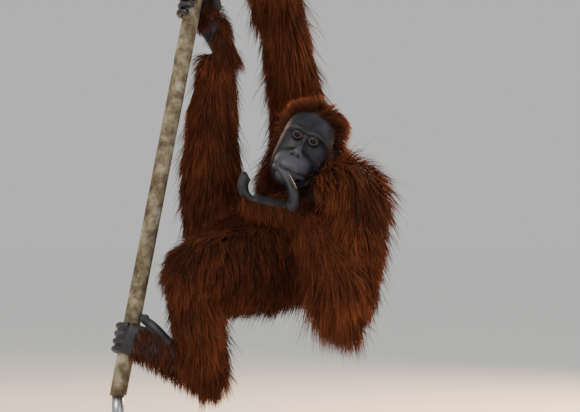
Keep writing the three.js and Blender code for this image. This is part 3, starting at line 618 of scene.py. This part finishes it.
# painted shade: near black in the nostrils and along the mouth
pit_shaded = node(tree, "Mix", {7: linear("#060506")}, {0: (pit_shade_mark, "Fac"), 6: (lipped_and_highlit, 2)}, data_type="RGBA")
under = node(tree, "Mix", {6: linear("#2b130b")}, {0: (bare_mark, "Fac"), 7: (pit_shaded, 2)}, data_type="RGBA")
tree.links.new(under.outputs[2], shader.inputs["Base Color"])
crease = node(tree, "TexVoronoi", {"Scale": 1 / (CREASE * MM)}, {"Vector": (where, "Object")},
              feature="DISTANCE_TO_EDGE")
pore = node(tree, "TexNoise", {"Scale": 1 / (PORE * MM), "Detail": 2.0}, {"Vector": (where, "Object")})
fine = node(tree, "Bump", {"Strength": 0.35, "Distance": 0.5 * MM}, {"Height": (pore, "Fac")})
deep = node(tree, "Bump", {"Strength": 0.4, "Distance": 1.2 * MM},
            {"Height": (crease, "Distance"), "Normal": (fine, "Normal")})
tree.links.new(deep.outputs["Normal"], shader.inputs["Normal"])
mesh.materials.clear()
mesh.materials.append(skin_finish)


# %% [markdown]
# An orangutan's eye is a small dark-brown ball with little white to it. A float on each corner
# holds the angle from the line of sight, and one ramp paints pupil, iris and rim from it. A
# clear coat gives the wet highlight.

# %% Eyes
GAZE = unit(HEAD_FORWARD + 0.18 * unit(vec(108, -6500, 726) - BETWEEN_EYES))
eye_finish, tree, shader = finish_of("wet_brown_eye", {
    "Roughness": 0.5, "IOR": 1.38, "Specular IOR Level": 0.1, "Coat Weight": 0.35, "Coat Roughness": 0.05,
    "Coat IOR": 1.38})
gaze_mark = node(tree, "Attribute", attribute_name="gaze")
iris = node(tree, "ValToRGB", links={"Fac": (gaze_mark, "Fac")},
            stops=[(0.0, "#050404"), (0.2, "#050404"), (0.24, "#1d1009"), (0.4, "#33200f"), (0.47, "#0d0705"),
                   (0.56, "#241a15"), (1.0, "#1c1411")])
fleck = node(tree, "TexNoise", {"Scale": 1 / (1.2 * MM), "Detail": 3.0})
veined = node(tree, "Mix", {0: 0.25}, {6: (iris, "Color"), 7: (fleck, "Color")}, data_type="RGBA",
              blend_type="MULTIPLY")
tree.links.new(veined.outputs[2], shader.inputs["Base Color"])
for side, centre in EYES.items():
    ball = egg(centre, (EYE_RADIUS - 0.3,) * 3, rings=32, sides=48)
    away = np.degrees(np.arccos(np.clip(unit(ball[0] - centre) @ GAZE, -1, 1)))
    bulge = 1 + 0.05 * np.clip(1 - away / 32, 0, 1)
    eye = mesh_object("eyeball_" + side, [(centre + (ball[0] - centre) * bulge[:, None], ball[1])])
    gaze = eye.data.attributes.new("gaze", "FLOAT", "POINT")
    gaze.data.foreach_set("value", (away / 90).astype(np.float32))
    eye.data.shade_smooth()
    eye.data.materials.append(eye_finish)
    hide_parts("eye_" + side)
    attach(eye, "root")
print("eyes", len(EYES))

# %% [markdown]
# Each digit ends in a narrow, domed nail of dark horn. It lies on the outer side of the
# curl, which is the side away from the centre of the digit's bend.

# %% Nails
NAIL = (4.6, 6.5, 1.8)  # half its width, length and thickness
NAIL_SUNK = 0.8


def nail(digit):
    """A nail near the end of a digit, on the outer side of its bend."""
    bend = digit.centre[-9] + digit.centre[-1] - 2 * digit.centre[-5]
    way = digit.tangent[-3]
    out = unit(-bend + way * way.dot(bend))
    axes = np.array([np.cross(way, out), way, out])
    return egg(digit.centre[-3] + out * (digit.wide[-3] - NAIL_SUNK), NAIL, axes)


nails = mesh_object("nails", [nail(digit) for forms in extremities.values() for digit in forms[1:]])
nails.data.shade_smooth()
horn_finish, tree, shader = finish_of("dark_horn", {
    "Base Color": linear("#2b2521"), "Roughness": 0.35, "IOR": 1.54})
nails.data.materials.append(horn_finish)
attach(nails, "root")

# %% [markdown]
# The coat is what names the animal: long, coarse, rust-red hair that lies down the limb and
# then hangs. Particle hair would not survive an export, so each tuft is a thin closed blade
# of mesh with a ridge. It starts under the skin, follows the lie, is pushed out of any flesh
# it meets, bends down under its weight, and is drawn towards a neighbour so that locks form.

# %% One coat of tufts
random = np.random.default_rng(7)
noise.seed_set(7)  # without it the sway of the hair would start from the clock
solid_forms = {"skull": skull, "muzzle": muzzle, "neck": neck, "torso": torso, **limbs,
               **{name: forms[0] for name, forms in extremities.items()}}
# hair grows on the first joints of the cupped fingers too, so that palm runs on round them
solid_forms["hand_left"] = Form(
    [(LEFT["wrist"], 32, 26), (vec(92, -86, 714), 42, 27), (vec(50, -94, 727), 46, 22),
     (vec(16, -96, 738), 46, 15), (vec(-8, -96, 747), 44, 12), (vec(-19, -96, 768), 42, 11)],
    vec(0, 1, 0), caps=(0.6, 0.5))
print("forms under the coat", len(solid_forms))

# %% [markdown]
# The numbers that give the coat its character come first. A lock is a few tufts that lean
# towards one of them, more so at the tip, as hair does that is a little damp or greasy.

# %% Character of the hair
JOINTS = 3  # segments along a tuft
ROOT_DEPTH = 4  # mm under the skin
ATLAS = 5  # the unwrap of the skin is a square of 5 by 5 cells, one for each form
SWAY = 0.4  # how far a whole patch of hair leans from its lie
JITTER = 0.08  # how far one tuft leans from its patch
STRAY = 0.05  # the share of tufts that stand off and join no lock
OFF_FLESH, PUSH = 5, 30  # mm that a tuft keeps off other flesh, and the most it is pushed at once
LOCK_OF = 14  # tufts to a lock
GATHER = (0, 0.1, 0.28, 0.5)  # how far a tuft is drawn to its lock, from root to tip
PATCH = 0.003  # the size of a tuft on that unwrap, of the whole map
BLADE = [(1.0, 1.0), (0.95, 0.9), (0.6, 0.7)]  # width and thickness along the blade, as shares


def blades(paths, ways, normals, width, thick):
    """Corners and faces of three-sided tapered blades along many paths at once."""
    count = len(width)
    roll = random.uniform(-0.9, 0.9, count)[:, None]
    corners = []
    for k, (wide, tall) in enumerate(BLADE):
        across = unit(np.cross(ways[k], normals))
        out = np.cross(across, ways[k])
        across, out = across * np.cos(roll) + out * np.sin(roll), out * np.cos(roll) - across * np.sin(roll)
        half, rise = (width * wide / 2)[:, None], (thick * tall / 2)[:, None]
        corners += [paths[k] + across * half - out * rise, paths[k] - across * half - out * rise,
                    paths[k] + out * rise]
    corners.append(paths[-1])
    corners = np.stack(corners, axis=1).reshape(-1, 3)
    block = [(0, 2, 1)]
    for row in (0, 3):
        for i in range(3):
            a, b = row + i, row + (i + 1) % 3
            block += [(a, b, b + 3), (a, b + 3, a + 3)]
    block += [(6 + i, 6 + (i + 1) % 3, 9) for i in range(3)]
    faces = (np.arange(count) * 10)[:, None, None] + np.array(block)[None]
    return corners, faces.reshape(-1, 3)


# %% [markdown]
# Growing one form takes four steps. Roots are strewn over its surface, and those inside other
# flesh or on bare skin go. Each tuft then walks out along its lie in three steps. It is
# drawn to its lock. Last, each tuft gets a small patch of the map at its root's own place.

# %% Tufts of one form
def grow(form, cell, plan):
    """The tufts of one form: corners, faces, and the marks and map that colour them."""
    count = plan["count"]
    share = random.uniform(*plan["share"], count)
    angle = random.uniform(0, 2 * math.pi, count)
    roots, normals, tangent = form.surface(share, angle)
    past = np.clip(np.maximum(share - 1, -share), 0, None) / form.DOME
    keep = random.uniform(0, 1, count) < np.maximum(np.cos(past * math.pi / 2), 0.25)
    for other in solid_forms.values():
        if other is not form:
            keep &= other.nearest(roots)[0] > 2
    if "bald" in plan:
        keep &= plan["bald"](roots, normals) < random.uniform(0.05, 0.5, count)
    share, angle, roots, normals, tangent = (a[keep] for a in (share, angle, roots, normals, tangent))
    count = len(roots)
    lie = plan["lie"](roots, tangent)
    lie = unit(lie - normals * np.sum(lie * normals, axis=1, keepdims=True))
    sway = np.array([noise.noise_vector(Vector(p / 55)) for p in roots]) * SWAY
    length = plan["length"]
    length = length(roots) if callable(length) else np.interp(share, (0, 1), length)
    length = length * random.uniform(0.6, 1.15, count)
    stray = random.uniform(0, 1, count) < STRAY
    rise = np.where(stray, 0.8, random.uniform(0.05, 0.4, count))[:, None]
    lift = random.uniform(1, 7, count) * plan.get("lift", 1.0) * np.clip(length / 90, 0.3, 1.2)
    way = unit(lie + normals * rise + sway + random.normal(0, JITTER, (count, 3)))
    paths = [roots - normals * ROOT_DEPTH]
    for k in range(1, JOINTS + 1):
        point = paths[-1] + way * (length / JOINTS)[:, None]
        gap, out = form.nearest(point)
        point = point + out * np.maximum(lift * k - gap, 0)[:, None]
        for other in solid_forms.values():
            if other is not form:
                gap, out = other.nearest(point)
                point = point + out * np.clip(OFF_FLESH - gap, 0, PUSH)[:, None]
        way = unit(unit(point - paths[-1]) + DOWN * (plan.get("droop", 0.5) * k / JOINTS))
        paths.append(point)
    guides = random.choice(count, max(1, count // LOCK_OF), replace=False)
    near_guides = KDTree(len(guides))
    for i, g in enumerate(guides):
        near_guides.insert(roots[g], i)
    near_guides.balance()
    lock = np.array([near_guides.find(p)[1] for p in roots])
    pull = (random.uniform(0.4, 1.0, count) * ~stray)[:, None]
    for k, strength in enumerate(GATHER):
        paths[k] = paths[k] + pull * strength * (paths[k][guides[lock]] - paths[k])
    ways = [unit(paths[min(k + 1, JOINTS)] - paths[max(k - 1, 0)]) for k in range(JOINTS)]
    width = random.uniform(0.7, 1.25, count) * plan["width"]
    corners, faces = blades(paths, ways, normals, width, width * 0.35)
    column, row = cell % ATLAS, cell // ATLAS
    upward = (share + form.DOME) / (1 + 2 * form.DOME)
    home = np.stack([column + 0.02 + 0.95 * angle / (2 * math.pi), row + 0.02 + 0.95 * upward], 1) / ATLAS
    along = np.array([0, 0, 0, 1, 1, 1, 2, 2, 2, 3]) / JOINTS
    aside = np.array([0, 1, 0.5] * 3 + [0.5])
    chart = home[:, None, :] + PATCH * np.stack([aside, along], 1)[None]
    # a random tone for each lock and tuft, plus the plan's shift, which is painted shade or painted light
    tone = random.uniform(0, 0.6, len(guides))[lock] + random.uniform(0, 0.4, count) + plan.get("tone", 0)
    return corners, faces, np.tile(along, count), np.repeat(tone, 10), chart.reshape(-1, 2)


# %% [markdown]
# A coat piece has more than a hundred thousand triangles, so its mesh is filled from arrays.
# Each piece must stay under a fixed number of triangles.

# %% A coat as one object
MOST_TRIANGLES = 200000


def coat_object(name, grown):
    corners, faces, along, tone, chart = grown
    mesh = bpy.data.meshes.new(name)
    mesh.vertices.add(len(corners))
    mesh.vertices.foreach_set("co", (corners * MM).ravel())
    mesh.loops.add(faces.size)
    mesh.loops.foreach_set("vertex_index", faces.ravel())
    mesh.polygons.add(len(faces))
    mesh.polygons.foreach_set("loop_start", np.arange(len(faces)) * 3)
    mesh.update(calc_edges=True)
    for mark, values in (("along", along), ("tone", tone)):
        mesh.attributes.new(mark, "FLOAT", "POINT").data.foreach_set("value", values.astype(np.float32))
    mesh.uv_layers.new(name="OFBake").data.foreach_set("uv", chart[faces.ravel()].astype(np.float32).ravel())
    mesh.shade_smooth()
    made = bpy.data.objects.new(name, mesh)
    bpy.context.collection.objects.link(made)
    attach(made, "root")
    print(name, len(faces), "triangles")
    assert len(faces) < MOST_TRIANGLES
    return made


# %% [markdown]
# Each limb has its own lie. On the low arm the hair runs from the shoulder and from the wrist
# towards the elbow, where it meets in a fringe. On the raised arm and leg it hangs back
# down. On the head it is swept off the brow and falls at the sides of the face.

# %% The lie of the coat
def down_with(share_along):
    return lambda roots, tangent: tangent * share_along + DOWN


def swept_back(roots, tangent):
    """Up and back off the brow, then down behind and at the sides."""
    place = head_place(roots)
    low = np.clip(-place[:, 2:3] / 60, 0, 1)
    front = np.clip((place[:, 1:2] + 90) / 60, 0, 1) * (1 - low)
    return -HEAD_FORWARD * (1 - 0.75 * low) + HEAD_UP * (front * 0.45 - (1 - front) * (0.45 + 0.9 * low))


def head_length(roots):
    return np.interp(head_place(roots)[:, 2], (-150, -90, 0, 70), (70, 105, 80, 42))


def fringe_length(roots):
    """The hair under the middle of the forearm is the longest and makes a curtain."""
    return np.interp(roots[:, 2], (440, 520, 620, 710), (130, 185, 135, 85))


def bald_face(roots, normals):
    return face_share(head_place(roots))


def bald_palm(back):
    """Palms and soles are bare: hair grows on the side that faces back, and round the edges."""
    return lambda roots, normals: np.clip(0.1 - 2 * normals @ back, 0, 1)


BACKS = {"hand_left": vec(-0.35, -0.75, -0.6), "foot_left": vec(0.2, -1, -0.6),
         "foot_right": vec(0.9, 0, 0.1), "hand_right": vec(0.9, 0.2, 0)}
# a plan's tone shift is painted light and shade: the chest, back and left thigh are painted darker as shade,
# the low arm lighter as light
COATS = {
    "head": {"count": 15500, "share": (-0.1, 1.15), "lie": swept_back, "length": head_length,
             "width": 1.6, "lift": 1.6, "droop": 0.35, "bald": bald_face, "tone": 0.2},
    "neck": {"count": 6000, "share": (0, 0.9), "lie": down_with(0), "length": (120, 110), "width": 2.2},
    "back": {"count": 13500, "share": (-0.15, 0.5), "lie": down_with(-0.5), "length": (100, 115),
             "width": 2.6, "tone": 0.4},
    "chest": {"count": 11500, "share": (0.5, 1.1), "lie": down_with(-0.5), "length": (120, 105),
              "width": 2.5, "tone": 0.6},
    "upper_arm_left": {"count": 16500, "share": (-0.12, 1.15), "lie": down_with(1),
                       "length": (125, 85), "width": 2.3, "tone": -0.05},
    "forearm_left": {"count": 12500, "share": (-0.15, 1.05), "lie": down_with(-0.4),
                     "length": fringe_length, "width": 2.0, "tone": -0.1},
    "upper_arm_right": {"count": 12900, "share": (-0.1, 1.15), "lie": down_with(0),
                        "length": (120, 115), "width": 2.3},
    "forearm_right": {"count": 9500, "share": (-0.15, 1), "lie": down_with(0),
                      "length": (130, 90), "width": 2.1},
    "thigh_left": {"count": 14900, "share": (-0.12, 1.15), "lie": down_with(0.4),
                   "length": (95, 58), "width": 2.3, "droop": 0.8, "tone": 0.3},
    "shank_left": {"count": 11500, "share": (-0.15, 1.15), "lie": down_with(1),
                   "length": (72, 110), "width": 2.1},
    "thigh_right": {"count": 11300, "share": (-0.1, 1.15), "lie": down_with(0),
                    "length": (115, 105), "width": 2.3},
    "shank_right": {"count": 10500, "share": (-0.15, 1.15), "lie": down_with(0),
                    "length": (115, 80), "width": 2.1},
}
for name, back in BACKS.items():
    COATS[name] = {"count": 5500, "share": (-0.15, 0.95), "lie": down_with(0), "length": (68, 40),
                   "width": 1.4, "bald": bald_palm(unit(back)), "tone": 0.1}
COATS["hand_left"].update(count=9500, length=(90, 58), width=1.6, tone=0)
print("coat plans", len(COATS))

# %% [markdown]
# Each plan is grown on its form, and each coat becomes a piece of its own.

# %% The coat
COAT_FORMS = {"head": skull, "back": torso, "chest": torso}
cells = {id(form): i for i, form in enumerate(solid_forms.values())}
THIN_OUT = 0.92  # the share of each count that is grown
coat = []
for name, plan in COATS.items():
    form = COAT_FORMS.get(name) or solid_forms[name]
    grown = grow(form, cells[id(form)], {**plan, "count": int(plan["count"] * THIN_OUT)})
    coat.append(coat_object("coat_" + name, grown))
print("coat", sum(len(piece.data.polygons) for piece in coat), "triangles")

# %% [markdown]
# Orangutan hair is keratin with a red pigment. It is dark and brownish at the root, rust-red
# along its length, and sun-bleached to orange at the tip, and whole locks differ in tone. The
# lengthwise ramp, a tone for each lock and a slow noise over the body give all three. A shift of
# the tone for a whole coat adds painted light and shade: the chest, back and left thigh are
# painted darker as shade, the low arm lighter as light.

# %% Finish: red hair
hair_finish, tree, shader = finish_of("rust_red_hair", {
    "Roughness": 0.78, "IOR": 1.55, "Specular IOR Level": 0.12, "Sheen Weight": 0.3, "Sheen Roughness": 0.35,
    "Sheen Tint": linear("#e08a58")})
where = node(tree, "TexCoord")
along = node(tree, "Attribute", attribute_name="along")
tone = node(tree, "Attribute", attribute_name="tone")
length_ramp = node(tree, "ValToRGB", links={"Fac": (along, "Fac")},
                   stops=[(0.0, "#2a130c"), (0.35, "#552718"), (0.75, "#81432a"), (1.0, "#bd7a4c")])
# darker hair for dark locks, and painted shade where a plan's tone shift darkens its coat
dark_lock_and_shade_ramp = node(tree, "ValToRGB", links={"Fac": (along, "Fac")},
                 stops=[(0.0, "#140907"), (0.4, "#28120d"), (0.8, "#432016"), (1.0, "#6b3d2a")])
patches = node(tree, "TexNoise", {"Scale": 1 / (160 * MM), "Detail": 2.0}, {"Vector": (where, "Object")})
blend = node(tree, "Math", {1: 0.5}, {0: (tone, "Fac")}, operation="MULTIPLY_ADD")
tree.links.new(patches.outputs["Fac"], blend.inputs[2])
limits = node(tree, "MapRange", {"From Min": 0.45, "From Max": 0.95}, {"Value": (blend, "Value")})
red = node(tree, "Mix", None, {0: (limits, "Result"), 6: (length_ramp, "Color"), 7: (dark_lock_and_shade_ramp, "Color")},
           data_type="RGBA")
tree.links.new(red.outputs[2], shader.inputs["Base Color"])
for piece in coat:
    piece.data.materials.append(hair_finish)


# %% [markdown]
# The perch is a thin living trunk cut to length. Bark is not smooth, so the tube has sixty
# sides, low lengthwise ridges and a few swollen knots, all from noise of known size. Each
# ring of corners is level, as the saw cuts at both ends are.

# %% Trunk
RINGS, SIDES = 260, 64
trunk_points, trunk_faces = [], []
for row in range(RINGS + 1):
    for i in range(SIDES):
        a = 2 * math.pi * i / SIDES
        out = TRUNK_RIGHT * math.cos(a) + TRUNK_BACK * math.sin(a)
        spot = TRUNK_LOW + (TRUNK_TOP - TRUNK_LOW) * row / RINGS + out * TRUNK_RADIUS
        spot = spot - TRUNK_AXIS * (out[2] * TRUNK_RADIUS / TRUNK_AXIS[2])
        ridge = noise.noise(Vector((math.cos(a) * 4, math.sin(a) * 4, row / RINGS * 14)))
        knot = max(0, noise.noise(Vector((math.cos(a), math.sin(a), row / RINGS * 22))) - 0.35)
        trunk_points.append(spot + unit(out * (1, 1, 0)) * (-0.9 + 0.8 * ridge + 4 * knot))
for row in range(RINGS):
    for i in range(SIDES):
        a, b = row * SIDES + i, row * SIDES + (i + 1) % SIDES
        trunk_faces.append((a, b, b + SIDES, a + SIDES))
trunk_faces += [tuple(range(SIDES))[::-1], tuple(range(RINGS * SIDES, (RINGS + 1) * SIDES))]
trunk = mesh_object("cut_trunk", [(np.array(trunk_points), trunk_faces)])
trunk.data.shade_smooth()
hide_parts("perch_trunk")
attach(trunk, "root")
bark_finish, tree, shader = finish_of("mottled_bark", {"Roughness": 0.85, "Specular IOR Level": 0.25})
where = node(tree, "TexCoord")
lichen = node(tree, "TexNoise", {"Scale": 1 / (38 * MM), "Detail": 6.0, "Roughness": 0.65},
              {"Vector": (where, "Object")})
patched = node(tree, "ValToRGB", links={"Fac": (lichen, "Fac")},
               stops=[(0.3, "#3b3228"), (0.46, "#6a5e4b"), (0.55, "#877d68"), (0.68, "#a8a290")])
tree.links.new(patched.outputs["Color"], shader.inputs["Base Color"])
grain = node(tree, "TexNoise", {"Scale": 1 / (6 * MM), "Detail": 5.0}, {"Vector": (where, "Object")})
rough = node(tree, "Bump", {"Strength": 0.6, "Distance": 1.5 * MM}, {"Height": (grain, "Fac")})
tree.links.new(rough.outputs["Normal"], shader.inputs["Normal"])
trunk.data.materials.append(bark_finish)

# %% [markdown]
# The stand is plain on purpose: a dark stained board with a satin varnish, and a turned
# steel bar. Wood grain is distorted noise stretched along the board, and brushed steel is noise
# squeezed along the bar.

# %% Stand
wood_finish, tree, shader = finish_of("stained_beech", {
    "Roughness": 0.4, "IOR": 1.5, "Coat Weight": 0.3, "Coat Roughness": 0.25})
where = node(tree, "TexCoord")
squeeze = node(tree, "Mapping", {"Scale": (2.0, 30.0, 30.0)}, {"Vector": (where, "Object")})
growth = node(tree, "TexNoise", {"Scale": 3.0, "Detail": 5.0, "Distortion": 0.6},
              {"Vector": (squeeze, "Vector")})
board = node(tree, "ValToRGB", links={"Fac": (growth, "Fac")},
             stops=[(0.3, "#2a1c13"), (0.55, "#46301f"), (0.7, "#5a402b")])
tree.links.new(board.outputs["Color"], shader.inputs["Base Color"])
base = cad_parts["stand_base"]
base.data.materials.clear()
base.data.materials.append(wood_finish)

steel_finish, tree, shader = finish_of("brushed_steel", {
    "Base Color": linear("#b8babd"), "Metallic": 1.0, "Roughness": 0.32})
where = node(tree, "TexCoord")
squeeze = node(tree, "Mapping", {"Scale": (900.0, 900.0, 12.0)}, {"Vector": (where, "Object")})
brush = node(tree, "TexNoise", {"Scale": 1.0, "Detail": 3.0}, {"Vector": (squeeze, "Vector")})
scratch = node(tree, "Bump", {"Strength": 0.15, "Distance": 0.2 * MM}, {"Height": (brush, "Fac")})
tree.links.new(scratch.outputs["Normal"], shader.inputs["Normal"])
low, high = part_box("stand_rod")
centre = (low + high) / 2
ends = [vec(*centre.xy, z) / MM for z in (low.z, high.z)]
radius = (high.x - low.x) / 2 / MM
bar = tube(ends, [radius, radius], side=vec(1, 0, 0), caps=(0.001, 0.001))
rod = mesh_object("rod", [bar.mesh(rings=4, sides=64)])
rod.data.shade_smooth()
rod.data.materials.append(steel_finish)
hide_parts("stand_rod")
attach(rod, "root")
print("rod", round(2 * radius), "mm thick")

# %% [markdown]
# A pale studio: an even floor, a soft key from the upper left, a broad fill by the camera and
# two warm lights from behind, strong on the right and weak on the left. They set the hair's
# edges aglow as low sun does.

# %% Floor, light and camera
FLOOR_HALF = 30.0
floor_mesh = bpy.data.meshes.new("floor")
floor_corners = [(x * FLOOR_HALF, y * FLOOR_HALF, 0) for x, y in ((-1, -1), (1, -1), (1, 1), (-1, 1))]
floor_mesh.from_pydata(floor_corners, [], [(0, 1, 2, 3)])
floor = bpy.data.objects.new("floor", floor_mesh)
bpy.context.collection.objects.link(floor)
floor_finish, tree, shader = finish_of("pale_studio_floor", {
    "Base Color": linear("#fdfdfb"), "Roughness": 0.9})
floor_mesh.materials.append(floor_finish)
floor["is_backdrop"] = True

world = bpy.data.worlds.new("studio")
bpy.context.scene.world = world
world.use_nodes = True
world.node_tree.nodes["Background"].inputs["Color"].default_value = linear("#eceeec")
world.node_tree.nodes["Background"].inputs["Strength"].default_value = 0.68


def lamp(name, where, aim, size, power, colour="#ffffff"):
    light = bpy.data.lights.new(name, "AREA")
    light.size, light.energy, light.color = size, power, linear(colour)[:3]
    made = bpy.data.objects.new(name, light)
    made.location = where
    made.rotation_euler = (Vector(aim) - Vector(where)).to_track_quat("-Z", "Y").to_euler()
    bpy.context.collection.objects.link(made)


MIDDLE = (0.05, 0, 0.8)
lamp("key", (-2.4, -2.6, 2.8), MIDDLE, 1.4, 85, "#fff4e4")
lamp("fill", (2.2, -3.4, 1.2), MIDDLE, 2.2, 25, "#eaf0ff")
lamp("rim_right", (2.2, 2.2, 2.2), MIDDLE, 0.8, 260, "#ffc795")
lamp("rim_left", (-1.6, 2.8, 1.8), MIDDLE, 0.8, 14, "#ffc795")

CAMERA, FRAME_WIDTH, SENSOR = (0.108, -6.5, 0.726), 1.566, 36.0
camera = bpy.data.cameras.new("camera")
camera.sensor_width = SENSOR
camera.lens = SENSOR * -CAMERA[1] / FRAME_WIDTH
viewer = bpy.data.objects.new("camera", camera)
viewer.location = CAMERA
viewer.rotation_euler = (math.pi / 2, 0, 0)
bpy.context.collection.objects.link(viewer)
bpy.context.scene.camera = viewer

# %% [markdown]
# Both boxes, of the solids and of the dressed model, are printed. The dressed model has
# to stay inside the solids' box.

# %% Sizes
boxes = {"cad": [list(corner) for corner in CAD_BOX], "visual": [list(corner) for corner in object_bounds()]}
print(boxes)
